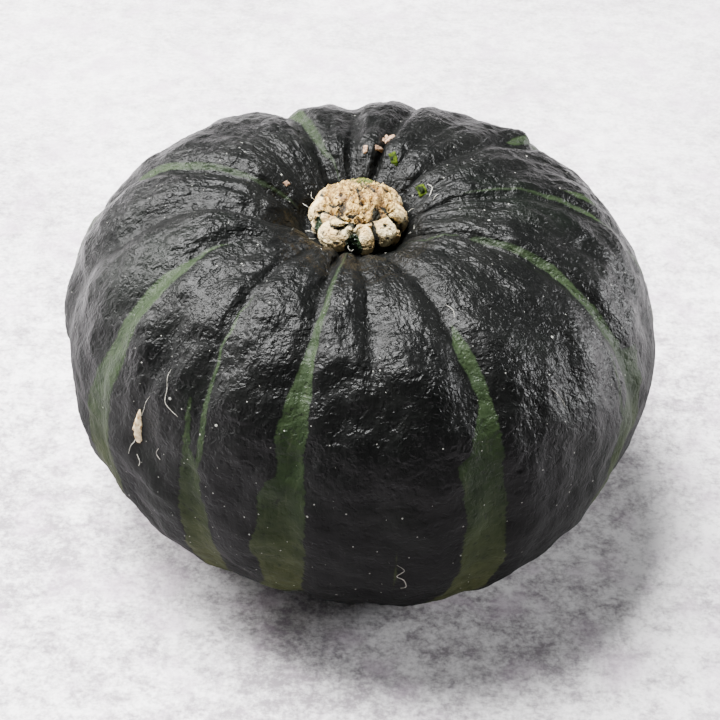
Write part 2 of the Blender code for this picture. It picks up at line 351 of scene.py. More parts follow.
# Stripes in the furrows: place along the meridian, azimuth of the left edge, azimuth of the right edge
stripes = {
    "first": [
        [(0.28, 247.0, 256.0), (0.31, 248.0, 258.4), (0.355, 251.8, 259.4), (0.39, 251.6, 259.9),
         (0.424, 250.4, 260.4), (0.464, 251.8, 260.8), (0.50, 251.9, 260.8), (0.522, 253.0, 260.4),
         (0.533, 255.4, 259.9), (0.56, 254.4, 259.2), (0.59, 254.6, 259.9), (0.63, 255.5, 259.9),
         (0.66, 256.6, 259.9), (0.685, 257.2, 260.2), (0.71, 258.3, 260.8), (0.76, 259.9, 261.8),
         (0.80, 260.5, 262.5), (0.846, 262.5, 264.2), (0.90, 264.0, 265.2), (0.93, 265.0, 264.4)],
        [(0.28, 286.0, 292.0), (0.32, 288.4, 297.0), (0.37, 288.9, 297.9), (0.42, 288.8, 297.6),
         (0.475, 288.8, 296.4), (0.515, 288.6, 296.4), (0.545, 287.4, 295.8), (0.556, 287.6, 296.4),
         (0.566, 290.0, 296.5), (0.584, 290.3, 296.5), (0.606, 292.8, 296.6), (0.621, 294.0, 296.5),
         (0.657, 293.8, 296.4), (0.675, 292.6, 296.4), (0.693, 292.7, 296.1), (0.712, 294.6, 295.4),
         (0.725, 295.2, 294.6)],
        [(0.34, 322.0, 328.0), (0.44, 323.4, 332.6), (0.482, 325.6, 338.2), (0.508, 327.1, 338.4),
         (0.530, 332.0, 340.0), (0.553, 332.6, 341.6), (0.563, 333.0, 341.8), (0.573, 333.4, 336.8),
         (0.591, 333.2, 336.6), (0.617, 333.2, 336.4), (0.675, 333.5, 336.5), (0.712, 335.4, 338.0),
         (0.763, 336.0, 338.0), (0.815, 335.2, 337.0), (0.846, 326.6, 328.6), (0.88, 321.8, 323.2),
         (0.92, 320.0, 320.6), (0.94, 320.4, 319.8)],
        [(0.30, -2.0, 3.0), (0.42, -1.6, 4.4), (0.52, -0.6, 4.4), (0.595, 1.2, 4.0), (0.646, 5.0, 6.8),
         (0.675, 8.2, 9.7), (0.73, 9.6, 10.8), (0.77, 11.2, 12.2), (0.839, 10.8, 11.5), (0.86, 11.4, 10.8)],
        [(0.30, 38.0, 46.0), (0.45, 37.0, 47.0), (0.56, 40.0, 47.0), (0.64, 44.0, 46.4), (0.70, 44.0, 45.8),
         (0.715, 45.2, 44.8)],
        [(0.28, 70.0, 78.0), (0.40, 72.0, 81.0), (0.52, 74.0, 80.0), (0.62, 75.6, 78.4), (0.66, 77.4, 76.8)],
        [(0.28, 106.0, 116.0), (0.40, 108.0, 118.0), (0.52, 108.5, 117.0), (0.64, 109.6, 115.0),
         (0.74, 111.2, 114.2), (0.80, 111.4, 114.6), (0.864, 111.4, 113.8), (0.915, 106.8, 108.4),
         (0.93, 107.6, 107.2)],
        [(0.28, 161.0, 172.0), (0.38, 164.0, 176.0), (0.48, 168.0, 177.0), (0.56, 170.4, 176.0),
         (0.63, 171.6, 174.4), (0.66, 164.0, 168.0), (0.70, 162.0, 164.6), (0.80, 162.2, 164.4),
         (0.86, 162.2, 164.2), (0.915, 160.8, 162.2), (0.935, 161.6, 161.0)],
        [(0.30, 210.0, 214.0), (0.384, 207.8, 216.6), (0.45, 206.8, 217.2), (0.489, 208.0, 217.4),
         (0.53, 209.8, 217.2), (0.57, 211.4, 217.9), (0.62, 211.4, 217.2), (0.69, 211.6, 217.2),
         (0.715, 213.0, 217.6), (0.74, 212.4, 216.2), (0.77, 212.6, 215.6), (0.80, 214.2, 216.2),
         (0.83, 214.8, 216.2), (0.88, 216.4, 217.4), (0.92, 217.6, 218.4), (0.94, 218.4, 218.0)],
        [(0.28, 232.6, 238.6), (0.344, 233.6, 241.6), (0.391, 235.0, 241.8), (0.42, 235.0, 241.6),
         (0.453, 235.0, 240.6), (0.482, 235.8, 240.5), (0.511, 236.3, 239.4), (0.53, 236.2, 238.0),
         (0.562, 235.6, 236.6), (0.585, 235.6, 235.9), (0.60, 235.9, 235.5)],
    ],
    "second": [
        [(0.50, 239.6, 239.4), (0.533, 239.7, 241.0), (0.57, 238.8, 240.1), (0.60, 238.6, 239.7),
         (0.635, 238.8, 239.6), (0.655, 237.7, 238.5), (0.675, 238.6, 239.4), (0.70, 237.8, 238.5),
         (0.715, 239.0, 239.4), (0.74, 239.8, 239.4)],
        [(0.47, 328.4, 328.0), (0.52, 327.8, 328.8), (0.58, 329.4, 330.2), (0.62, 330.8, 330.4)],
        [(0.66, 12.8, 12.4), (0.675, 12.2, 14.0), (0.70, 12.8, 14.4), (0.715, 13.6, 13.2)],
        [(0.36, 277.4, 277.0), (0.40, 276.9, 277.5), (0.45, 277.1, 276.8)],
        [(0.35, 130.4, 130.0), (0.43, 129.0, 131.2), (0.52, 129.4, 130.6), (0.56, 130.2, 129.8)],
        [(0.36, 88.4, 88.0), (0.45, 87.0, 89.0), (0.54, 87.6, 88.5), (0.60, 88.2, 87.8)],
    ],
}


def stripeEdges(azimuth, along, group):
    # signed mm inside the left edge and inside the right edge of the nearest stripe of the group
    degrees = np.degrees(azimuth) % 360
    meridian = 240   # mm, turns the share of the meridian past a stripe's end into a length
    radius = np.maximum(turnedProfile(along)[0], fruit["pitRadius"])
    best = np.full(along.shape, -1e3)
    left = np.full(along.shape, -20.0)
    right = np.full(along.shape, -20.0)
    for table in stripes[group]:
        places, lefts, rights = np.array(table).T
        lefts = np.interp(along, places, lefts)
        rights = np.interp(along, places, rights)
        half = (rights - lefts) / 2
        aside = (degrees - lefts - half + 180) % 360 - 180
        fromLeft = np.radians(half + aside) * radius
        fromRight = np.radians(half - aside) * radius
        beyond = np.maximum(places[0] - along, along - places[-1]).clip(0) * meridian
        inside = np.minimum(fromLeft, fromRight) - beyond
        nearer = inside > best
        best = np.where(nearer, inside, best)
        # from 4 mm outside, no raggedness reaches the stripe
        far = 200 * easeCosine((-inside - 4) / 4)
        left = np.where(nearer, fromLeft - beyond - far, left)
        right = np.where(nearer, fromRight - beyond - far, right)
    return left.clip(-20, 20), right.clip(-20, 20)


def makeFruit():
    # the skin on a grid of azimuths and places, with the fields that the rind reads and its own UV map
    columns, rows = fruit["columns"], fruit["rows"]
    azimuth = math.radians(fruit["seamAzimuth"]) + np.arange(columns) / columns * math.tau
    along = evenAlong(rows)
    azimuths, alongs = np.meshgrid(azimuth, along)
    rings = fruitSkin(azimuths, alongs)
    piece = closedSurface("fruitBody", rings)

    furrow, depth, _ = lobeShape(azimuths)
    for group in stripes:
        left, right = stripeEdges(azimuths, alongs, group)
        addField(piece, group + "Left", withPoles(left))
        addField(piece, group + "Right", withPoles(right))
    addField(piece, "along", withPoles(alongs))
    deepest = 3.6
    hollow = furrow * depth / deepest * shareAlong(alongs, fruit["furrowAlong"])
    addField(piece, "furrow", withPoles(hollow))
    lengths = np.concatenate([[0], np.cumsum(np.hypot(*np.diff(turnedProfile(along), axis=1)))])
    skinMap(piece, columns, rows, math.tau * fruit["widestRadius"] * mm, lengths * mm)
    return piece


def addNode(tree, kind, inputs=None, **settings):
    node = tree.nodes.new(kind)
    for key, value in settings.items():
        setattr(node, key, value)
    for key, value in (inputs or {}).items():
        socket = node.inputs[key]
        if isinstance(value, bpy.types.NodeSocket):
            tree.links.new(value, socket)
        else:
            socket.default_value = value
    return node


def calc(tree, operation, first, second=0.0, clamp=False):
    node = addNode(tree, "ShaderNodeMath", {0: first, 1: second}, operation=operation, use_clamp=clamp)
    return node.outputs[0]


def times(tree, first, second):
    return calc(tree, "MULTIPLY", first, second)


def plus(tree, first, second):
    return calc(tree, "ADD", first, second)


def minus(tree, first, second):
    return calc(tree, "SUBTRACT", first, second)


def smoothBand(tree, value, low, high):
    # 0 below low, 1 above high, smooth between
    node = addNode(tree, "ShaderNodeMapRange", {"Value": value, "From Min": low, "From Max": high},
                   interpolation_type="SMOOTHSTEP")
    return node.outputs["Result"]


def mixColour(tree, share, first, second):
    node = addNode(tree, "ShaderNodeMix", data_type="RGBA")
    for socket, value in ((node.inputs[0], share), (node.inputs[6], first), (node.inputs[7], second)):
        if isinstance(value, bpy.types.NodeSocket):
            tree.links.new(value, socket)
        else:
            socket.default_value = value if socket.type == "VALUE" else (*value, 1.0)
    return node.outputs[2]


def noiseAt(tree, vector, scale, detail=3.0, roughness=0.55, distortion=0.0):
    inputs = {"Vector": vector, "Scale": scale, "Detail": detail, "Roughness": roughness,
              "Distortion": distortion}
    return addNode(tree, "ShaderNodeTexNoise", inputs).outputs["Fac"]


def stretched(tree, vector, scale):
    return addNode(tree, "ShaderNodeMapping", {"Vector": vector, "Scale": scale}).outputs["Vector"]


def fieldOf(tree, name):
    return addNode(tree, "ShaderNodeAttribute", attribute_name=name).outputs["Fac"]


def newGroup(name, inputs, output):
    # a node group that takes a Vector and named numbers, and gives one number
    tree = bpy.data.node_groups.new(name, "ShaderNodeTree")
    tree.interface.new_socket("Vector", in_out="INPUT", socket_type="NodeSocketVector")
    for label, value in inputs.items():
        tree.interface.new_socket(label, in_out="INPUT", socket_type="NodeSocketFloat").default_value = value
    tree.interface.new_socket(output, in_out="OUTPUT", socket_type="NodeSocketFloat")
    source = tree.nodes.new("NodeGroupInput").outputs
    return tree, source, tree.nodes.new("NodeGroupOutput").inputs[output]


def effect(tree, group, vector, *values):
    # what the group gives for its inputs, which are listed in its own order
    return addNode(tree, "ShaderNodeGroup", dict(enumerate((vector, *values))), node_tree=group).outputs[0]


def makeGrainGroup():
    # skin grain: fine crumple plus cell walls of a Voronoi, both bent by a wider noise
    inputs = {"Crumple": 500.0, "Cells": 420.0, "Bend": 0.0012}
    group, source, result = newGroup("skinGrain", inputs, "Height")
    wide = addNode(group, "ShaderNodeTexNoise", {"Vector": source["Vector"], "Scale": 160.0, "Detail": 2.0})
    centred = addNode(group, "ShaderNodeVectorMath", {0: wide.outputs["Color"], 1: (0.5, 0.5, 0.5)},
                      operation="SUBTRACT")
    bent = addNode(group, "ShaderNodeVectorMath", {0: centred.outputs[0], "Scale": source["Bend"]},
                   operation="SCALE")
    vector = addNode(group, "ShaderNodeVectorMath", {0: source["Vector"], 1: bent.outputs[0]},
                     operation="ADD").outputs[0]
    crumple = noiseAt(group, vector, source["Crumple"], 2.5, 0.5)
    ridge = calc(group, "ABSOLUTE", minus(group, crumple, 0.5))
    cellInputs = {"Vector": vector, "Scale": source["Cells"], "Smoothness": 0.6}
    cells = addNode(group, "ShaderNodeTexVoronoi", cellInputs, feature="SMOOTH_F1").outputs["Distance"]
    walls = times(group, cells, 0.55)
    rough = times(group, ridge, 2.2)
    height = minus(group, plus(group, crumple, walls), rough)
    group.links.new(height, result)
    return group


def makeSpeckGroup():
    # specks: a small disc round some of a Voronoi's points, chosen by the cell's own random colour
    group, source, result = newGroup("paleSpecks", {"Density": 200.0, "Size": 0.1, "Share": 0.3}, "Mask")
    cells = addNode(group, "ShaderNodeTexVoronoi", {"Vector": source["Vector"], "Scale": source["Density"]})
    parts = addNode(group, "ShaderNodeSeparateColor", {"Color": cells.outputs["Color"]}).outputs
    size = times(group, source["Size"], plus(group, parts[1], 0.35))
    disc = calc(group, "LESS_THAN", cells.outputs["Distance"], size)
    chosen = calc(group, "LESS_THAN", parts[0], source["Share"])
    group.links.new(times(group, disc, chosen), result)
    return group


def makeMottleGroup():
    # mottle: layered noise cut to a soft-edged mask between two levels
    group, source, result = newGroup("mottle", {"Scale": 40.0, "Low": 0.4, "High": 0.6}, "Mask")
    noise = noiseAt(group, source["Vector"], source["Scale"], 5.0, 0.6, 0.3)
    group.links.new(smoothBand(group, noise, source["Low"], source["High"]), result)
    return group


def newMaterial(name, **settings):
    material = bpy.data.materials.new(name)
    material.use_nodes = True
    tree = material.node_tree
    shader = tree.nodes["Principled BSDF"]
    for label, value in settings.items():
        shader.inputs[label].default_value = value
    coordinates = addNode(tree, "ShaderNodeTexCoord").outputs
    return material, tree, shader, coordinates


def roughnessFrom(tree, start, parts):
    # start plus each mask times its weight, kept between 0 and 1
    total = start
    for mask, weight in parts:
        total = calc(tree, "ADD", times(tree, mask, weight), total, clamp=True)
    return total


def finishShader(tree, shader, colour, height, depth, roughness):
    # colour, a bump of this depth in metres, and roughness
    bump = addNode(tree, "ShaderNodeBump", {"Height": height, "Strength": 1.0, "Distance": depth})
    tree.links.new(colour, shader.inputs["Base Color"])
    tree.links.new(bump.outputs["Normal"], shader.inputs["Normal"])
    tree.links.new(roughness, shader.inputs["Roughness"])


# The rind's finish. A pair of colours is the two ends that a noise runs between.
rindFinish = {
    "dark": ((0.0022, 0.0024, 0.0023), (0.0044, 0.0046, 0.0043)),
    "darkGreen": (0.003, 0.006, 0.003),
    "pitBrown": (0.010, 0.0080, 0.0060),
    "green": ((0.0065, 0.0125, 0.0042), (0.0125, 0.021, 0.0075)),
    "olive": ((0.019, 0.0230, 0.0080), (0.033, 0.0370, 0.0140)),
    "paleGreen": (0.034, 0.050, 0.026),
    "lightStreak": (0.032, 0.040, 0.018),
    "speck": (0.42, 0.42, 0.38),
    "specks": (230.0, 0.075, 0.22),   # how many to the metre, size and share of them that show
    "dust": (560.0, 0.11, 0.16),
    "raggedness": {"first": 2.9, "second": 1.3},   # mm that a stripe's edges wander
    "grain": (520.0, 470.0, 0.0016),
    "bumpDepth": 0.00052,
    "ior": 1.195,
    "roughness": 0.28,
}


def stripeMask(tree, uv, along, group):
    # inside both edges of the stripe, each edge pushed about by short cross-wise teeth and a slower wander,
    # both of them weaker towards the crest
    raggedness = rindFinish["raggedness"][group]
    teeth = noiseAt(tree, stretched(tree, uv, (170.0, 620.0, 1.0)), 1.0, 4.0, 0.62)
    wander = noiseAt(tree, stretched(tree, uv, (60.0, 110.0, 1.0)), 1.0, 3.0, 0.5)
    push = times(tree, minus(tree, teeth, 0.5), raggedness)
    push = plus(tree, push, times(tree, minus(tree, wander, 0.5), raggedness * 1.1))
    quiet = minus(tree, 1.0, times(tree, smoothBand(tree, along, 0.54, 0.68), 0.75))
    nearest = calc(tree, "MINIMUM", fieldOf(tree, group + "Left"), fieldOf(tree, group + "Right"))
    return smoothBand(tree, plus(tree, nearest, times(tree, push, quiet)), -0.25, 0.35)


def darkSkin(tree, groups, place, along):
    # near-black in two tones, with a green cast in wide patches and a trace of brown by the pit
    patches = effect(tree, groups["mottle"], place, 55.0, 0.35, 0.7)
    greenish = effect(tree, groups["mottle"], place, 24.0, 0.52, 0.75)
    dark = mixColour(tree, patches, *rindFinish["dark"])
    dark = mixColour(tree, times(tree, greenish, 0.35), dark, rindFinish["darkGreen"])
    brown = times(tree, smoothBand(tree, along, 0.80, 0.93), 0.05)
    return mixColour(tree, times(tree, brown, patches), dark, rindFinish["pitBrown"])


def stripeSkin(tree, place, along, streaks):
    # green on the shoulder to olive low down, paler up the side, with lighter streaks along the stripe
    blotch = smoothBand(tree, noiseAt(tree, place, 190.0, 4.0, 0.6), 0.3, 0.7)
    green = mixColour(tree, blotch, *rindFinish["green"])
    olive = mixColour(tree, blotch, *rindFinish["olive"])
    stripe = mixColour(tree, smoothBand(tree, along, 0.55, 0.30), green, olive)
    pale = times(tree, smoothBand(tree, along, 0.52, 0.68), 0.55)
    stripe = mixColour(tree, times(tree, pale, streaks), stripe, rindFinish["paleGreen"])
    light = times(tree, smoothBand(tree, streaks, 0.55, 0.75), 0.45)
    return mixColour(tree, light, stripe, rindFinish["lightStreak"])


def stripeStrength(tree, groups, place, along, streaks, mask):
    # the mask, weaker in small flecks and broken up by the streaks towards the crest
    fleck = effect(tree, groups["mottle"], place, 420.0, 0.60, 0.68)
    solid = minus(tree, 1.0, times(tree, fleck, 0.55))
    faint = times(tree, smoothBand(tree, along, 0.66, 0.84), minus(tree, 0.95, streaks))
    return times(tree, mask, times(tree, solid, minus(tree, 1.0, faint)))


def makeRindMaterial(groups):
    # dark skin and stripes under pale specks, with grain and long wrinkles; low down it is calm and dull
    material, tree, shader, coordinates = newMaterial("rind", IOR=rindFinish["ior"])
    place = coordinates["Object"]
    uv = coordinates["UV"]
    along = fieldOf(tree, "along")
    lowSide = smoothBand(tree, along, 0.60, 0.44)

    mask = calc(tree, "MAXIMUM", stripeMask(tree, uv, along, "first"), stripeMask(tree, uv, along, "second"))
    streaks = noiseAt(tree, stretched(tree, uv, (700.0, 90.0, 1.0)), 1.0, 4.0, 0.6)
    dark = darkSkin(tree, groups, place, along)
    stripe = stripeSkin(tree, place, along, streaks)
    colour = mixColour(tree, stripeStrength(tree, groups, place, along, streaks, mask), dark, stripe)
    specks = effect(tree, groups["specks"], place, *rindFinish["specks"])
    dust = times(tree, effect(tree, groups["specks"], place, *rindFinish["dust"]), 0.8)
    pale = calc(tree, "MAXIMUM", specks, dust)
    colour = mixColour(tree, times(tree, pale, 0.6), colour, rindFinish["speck"])

    grain = times(tree, effect(tree, groups["grain"], place, *rindFinish["grain"]), 0.75)
    wrinkles = noiseAt(tree, stretched(tree, uv, (520.0, 200.0, 1.0)), 1.0, 2.0, 0.5)
    height = plus(tree, grain, times(tree, wrinkles, 0.6))
    height = times(tree, height, minus(tree, 1.0, times(tree, lowSide, 0.45)))
    gloss = noiseAt(tree, place, 90.0, 3.0, 0.6)
    parts = [(gloss, 0.18), (mask, 0.05), (lowSide, 0.40), (pale, 0.25), (fieldOf(tree, "furrow"), 0.06)]
    roughness = roughnessFrom(tree, rindFinish["roughness"], parts)
    finishShader(tree, shader, colour, height, rindFinish["bumpDepth"], roughness)
    return material


# The corky stem stub. Heights are above its seat, pushes are how far the cork swells out, in mm.
stem = {
    "columns": 320,
    "rows": 170,
    "radius": 14.6,
    "height": 17.4,
    # azimuth, height, half width, half height, push
    "bulbs": [
        (238, 7.6, 6.0, 5.0, 2.8), (238, 13.0, 3.4, 2.3, 2.2), (216, 12.6, 2.6, 2.4, 1.2),
        (283, 7.4, 2.9, 5.0, 2.4), (311, 9.2, 4.6, 4.6, 2.7), (347, 12.2, 3.6, 3.6, 1.9),
        (3, 7.8, 3.8, 4.8, 2.1), (28, 11.6, 4.2, 4.4, 2.2), (56, 9.4, 4.4, 4.4, 1.9),
        (84, 11.0, 4.6, 4.8, 2.2), (116, 8.8, 4.4, 4.4, 1.9), (144, 10.8, 4.6, 4.6, 2.2),
        (172, 8.6, 4.0, 4.2, 1.9), (193, 12.2, 3.4, 3.4, 1.7), (196, 6.2, 2.6, 3.0, 1.0),
        (331, 5.4, 3.2, 3.0, 1.3), (262, 12.6, 1.6, 1.6, 0.9), (290, 13.4, 1.5, 1.3, 0.9),
    ],
    # azimuth, height, half width, half height of the smooth green skin left between the bulbs
    "greenSkin": [(267, 6.0, 3.0, 4.6), (209, 8.8, 2.0, 3.6), (18, 6.0, 2.2, 3.2), (101, 6.6, 2.4, 3.8)],
    # depth, half width, then the path's (azimuth, place along the profile): cracks, hollows and raised folds
    "grooves": [
        (1.1, 0.55, [(226, 0.645), (234, 0.606), (243, 0.597), (252, 0.603), (258, 0.650)]),
        (1.0, 0.60, [(202, 0.620), (217, 0.700), (232, 0.725), (245, 0.718), (256, 0.690), (268, 0.640)]),
        (1.0, 0.50, [(259, 0.650), (267, 0.614), (274, 0.690), (281, 0.650), (289, 0.700)]),
        (1.4, 0.70, [(294, 0.680), (295, 0.620), (296, 0.510), (298, 0.340)]),
        (1.9, 1.8, [(298, 0.700), (303, 0.735), (309, 0.775)]),
        (1.2, 0.60, [(328, 0.790), (331, 0.700), (328, 0.620), (338, 0.530)]),
        (1.2, 0.60, [(24, 0.800), (22, 0.735), (8, 0.700)]),
        (1.0, 0.60, [(120, 0.950), (80, 0.985), (60, 0.950)]),
        (0.9, 0.45, [(308, 0.628), (309.5, 0.624)]),
        (0.8, 0.50, [(250, 0.770), (262, 0.760), (272, 0.790)]),
        (0.8, 0.50, [(205, 0.770), (220, 0.790), (232, 0.840)]),
        (1.0, 0.60, [(70, 0.640), (84, 0.690), (98, 0.660), (112, 0.700)]),
        (1.0, 0.60, [(140, 0.680), (158, 0.640), (174, 0.690)]),
        (1.2, 0.70, [(42, 0.560), (43, 0.480), (44, 0.380)]),
        (1.2, 0.70, [(130, 0.560), (129, 0.470), (131, 0.380)]),
        (-0.8, 0.80, [(46, 0.730), (20, 0.810), (351, 0.860), (318, 0.835), (300, 0.790), (288, 0.700)]),
        (-0.6, 0.70, [(150, 0.800), (190, 0.880), (230, 0.920), (270, 0.870)]),
    ],
    "sink": 1.2,                      # how far the side between the bulbs lies inside the plain post
    "corkRelief": (0.60, 2.4),        # height and wavelength of the coarse ridges, then of the fine ones
    "fineRelief": (0.48, 1.0),
    "lean": (1.0, 1.35),              # mm that the dome is tipped up, and towards which azimuth in radians
    "fibres": (0.70, 11),             # height of the ridges over the dome, and how many cross it
    # dry hairs standing off the foot of the stem: radius, then (azimuth, distance out, height) in mm
    "hairs": [
        (0.12, [(240, 14.6, 3.4), (239, 15.6, 4.4), (238, 16.2, 3.6)]),
        (0.11, [(243, 16.4, 2.6), (241, 17.6, 3.4), (244, 18.8, 3.4)]),
        (0.11, [(213, 14.4, 6.6), (210, 15.8, 7.4), (206, 16.8, 7.0)]),
        (0.09, [(216, 15.0, 5.4), (214, 16.4, 5.6), (210, 17.2, 6.4)]),
        (0.11, [(196, 14.2, 12.2), (193, 15.6, 13.2), (190, 16.6, 13.6)]),
        (0.11, [(261, 15.4, 8.0), (262, 16.0, 7.2), (265, 16.1, 6.6), (267, 15.8, 7.0)]),
        (0.09, [(303, 14.8, 4.0), (303, 16.2, 4.6), (301, 17.2, 4.2)]),
        (0.10, [(340, 16.0, 6.6), (342, 17.2, 7.6), (345, 17.0, 8.8)]),
        (0.09, [(6, 14.6, 9.4), (8, 15.8, 10.2), (10, 16.6, 9.8)]),
        (0.10, [(75, 14.2, 7.0), (78, 15.6, 8.4), (76, 16.6, 8.0)]),
        (0.09, [(128, 14.2, 6.4), (131, 15.6, 7.8), (136, 16.6, 7.6)]),
        (0.09, [(150, 14.2, 8.4), (152, 15.8, 9.0), (149, 16.6, 10.2)]),
    ],
}


def stemProfile(along):
    # flat seat, swollen foot, slight waist, rounded shoulder and a low dome
    places = [0.00, 0.20, 0.25, 0.34, 0.44, 0.54, 0.64, 0.74, 0.83, 0.92, 1.00]
    radii = [0.00, 0.82, 0.90, 0.98, 1.00, 0.97, 0.88, 0.72, 0.50, 0.25, 0.00]
    heights = [0.00, 0.00, 0.07, 0.22, 0.38, 0.55, 0.72, 0.86, 0.945, 0.985, 1.00]
    return np.interp(along, places, radii), np.interp(along, places, heights)


def blobField(azimuth, height, blobs):
    # for each blob a rounded mound, by its distance round and up the stem in its own half sizes
    mounds = []
    for turn, level, halfWidth, halfHeight in blobs:
        around = (np.degrees(azimuth) - turn + 180) % 360 - 180
        across = np.radians(around) * stem["radius"] / halfWidth
        upward = (height - level) / halfHeight
        mounds.append(np.clip(1 - across ** 2 - upward ** 2, 0, 1))
    return mounds


def postPoint(azimuth, along):
    # the plain post: the profile turned round the axis
    radii, heights = stemProfile(along)
    radius = stem["radius"] * radii
    return np.stack([radius * np.cos(azimuth), radius * np.sin(azimuth), stem["height"] * heights], axis=-1)


def pathDistance(points, path):
    # the least distance from each point to the straight pieces of the path
    least = np.full(points.shape[:-1], np.inf)
    for start, end in zip(path[:-1], path[1:]):
        step = end - start
        share = np.clip(((points - start) * step).sum(axis=-1) / (step * step).sum(), 0, 1)
        least = np.minimum(least, np.linalg.norm(points - start - share[..., None] * step, axis=-1))
    return least


def stemGrooves(points):
    # each groove is a bell-shaped cut about its path, each fold the same bell raised
    cut = np.zeros(points.shape[:-1])
    dark = np.zeros(points.shape[:-1])
    for depth, width, path in stem["grooves"]:
        turn, along = np.array(path).T
        bell = np.exp(-(pathDistance(points, postPoint(np.radians(turn), along)) / width) ** 2)
        cut = cut + depth * bell
        # the cuts, not the raised folds, also give the mask of painted shade along the grooves
        dark = np.maximum(dark, bell * (depth > 0))
    return cut, dark


def rawStem(azimuth, along):
    # a turned post, pushed out by the bulbs and cut by the grooves, with cracked fibres over the dome
    radii, heights = stemProfile(along)
    radius = stem["radius"] * radii
    height = stem["height"] * heights
    flat = postPoint(azimuth, along)
    mounds = blobField(azimuth, height, [bulb[:4] for bulb in stem["bulbs"]])
    swell = np.max([bulb[4] * np.sqrt(mound) for bulb, mound in zip(stem["bulbs"], mounds)], axis=0)
    push = swell - stem["sink"]
    side = easeCosine((along - 0.20) / 0.06) * (1 - easeCosine((along - 0.68) / 0.18))
    dome = easeCosine((along - 0.62) / 0.14)
    seat = easeCosine((along - 0.19) / 0.03)
    warped = flat + 1.1 * np.stack([softNoise(flat, 3.4, seed) for seed in (41, 42, 43)], axis=-1)
    corkHeight, corkWave = stem["corkRelief"]
    fineHeight, fineWave = stem["fineRelief"]
    rough = layeredNoise(warped, corkWave, 44)
    fine = layeredNoise(warped, fineWave, 47, layers=2)
    ridged = 0.5 - np.abs(rough) * 1.6
    fibreHeight, fibreCount = stem["fibres"]
    curved = warped[..., 0] * 0.90 + warped[..., 1] * 0.35 + 0.05 * warped[..., 1] ** 2
    across = curved * fibreCount / stem["radius"]
    strands = np.stack([across, warped[..., 1] * 0.12, warped[..., 2] * 0.12], axis=-1)
    fibre = 0.4 - np.abs(layeredNoise(strands, 1.6, 51, layers=2)) * 1.6
    relief = push * side + corkHeight * ridged * (0.22 * side + 1.1 * dome)
    relief = relief + fineHeight * fine * (0.3 + dome) + fibreHeight * fibre * dome
    # dark is the mask of painted shade along the grooves
    cut, dark = stemGrooves(flat + 0.35 * (warped - flat))
    relief = (relief - cut) * seat
    out = np.clip(1.15 - dome, 0, 1)
    length = np.hypot(out, dome) + 1e-9
    reach = radius + relief * out / length
    lean, towards = stem["lean"]
    lift = lean * np.cos(azimuth - towards) * dome * radii
    # the ridge field, low in the cork's valleys: tan there, and painted shade in the deepest of them
    crack = np.minimum(ridged, fibre * dome + (1 - dome))
    top = height + relief * dome / length + lift
    shape = np.stack([reach * np.cos(azimuth), reach * np.sin(azimuth), top], axis=-1)
    return shape, push * side, crack, dark


def stemShape(azimuth, along):
    return rawStem(azimuth, along)[0]


def makeStem():
    # the stub on a grid, fitted to its node's box, with the fields that the cork reads
    columns, rows = stem["columns"], stem["rows"]
    azimuth = np.arange(columns) / columns * math.tau
    along = np.linspace(0.004, 0.996, rows)
    azimuths, alongs = np.meshgrid(azimuth, along)
    shape, push, crack, dark = rawStem(azimuths, alongs)
    scale, shift = fitToNode(stemShape, "stem", azimuths, alongs)
    piece = closedSurface("stemStub", (shape * scale + shift) * mm)

    _, heights = stemProfile(alongs)
    green = np.max(blobField(azimuths, heights * stem["height"], stem["greenSkin"]), axis=0)
    # the recesses between the bulbs below the dome, which the cork darkens as painted shade
    hollow = np.clip(0.5 - push * 0.6, 0, 1) * (1 - easeCosine((alongs - 0.56) / 0.12))
    addField(piece, "hollow", withPoles(hollow))
    addField(piece, "ridge", withPoles(crack))
    # painted shade along the grooves
    addField(piece, "grooveShade", withPoles(dark))
    addField(piece, "greenSkin", withPoles(np.sqrt(green)))
    addField(piece, "dome", withPoles(easeCosine((alongs - 0.60) / 0.14)))
    return piece


# The cork's finish. A pair of colours is the two ends that a noise runs between.
corkFinish = {
    "side": ((0.60, 0.40, 0.155), (0.95, 0.80, 0.46)),
    "dome": ((0.27, 0.135, 0.022), (0.74, 0.50, 0.15)),
    "grey": (0.34, 0.26, 0.22),
    "orange": (0.22, 0.090, 0.010),
    "ochre": (0.26, 0.135, 0.010),
    "crumbs": (0.070, 0.034, 0.006),
    "tan": (0.13, 0.062, 0.011),
    # near-black painted shade in the deepest cracks
    "crack": (0.012, 0.008, 0.002),
    # near-black painted shade in the grooves
    "grooveShade": (0.010, 0.0095, 0.0025),
    # dark olive painted shade in the recesses between the bulbs
    "hollow": (0.030, 0.026, 0.006),
    "greenSkin": (0.007, 0.020, 0.003),
    "moss": ((0.018, 0.032, 0.0006), (0.13, 0.15, 0.002)),
    "mossCentre": (-0.0010, 0.0064, 0.1140),
    "mossReach": (0.0046, 0.0032),    # where the moss ends and where it is full, in metres from its centre
    "grain": (1100.0, 900.0, 0.0008),
    "bumpDepth": 0.0006,
    "roughness": 0.86,
}


def creamCork(tree, groups, place, dome):
    # cream in two tones, darker on the dome, with grey and ochre patches there, and orange and brown crumbs
    patch = effect(tree, groups["mottle"], place, 190.0, 0.35, 0.68)
    side = mixColour(tree, patch, *corkFinish["side"])
    cream = mixColour(tree, dome, side, mixColour(tree, patch, *corkFinish["dome"]))
    patches = [
        ("grey", (260.0, 0.56, 0.66), times(tree, dome, 0.6)),
        ("orange", (330.0, 0.58, 0.72), 0.8),
        ("ochre", (240.0, 0.52, 0.66), times(tree, dome, 0.85)),
    ]
    for name, spread, strength in patches:
        share = times(tree, effect(tree, groups["mottle"], place, *spread), strength)
        cream = mixColour(tree, share, cream, corkFinish[name])
    crumbs = smoothBand(tree, noiseAt(tree, place, 800.0, 5.0, 0.7), 0.47, 0.58)
    crumbs = times(tree, crumbs, plus(tree, times(tree, dome, 0.60), 0.12))
    return mixColour(tree, crumbs, cream, corkFinish["crumbs"])


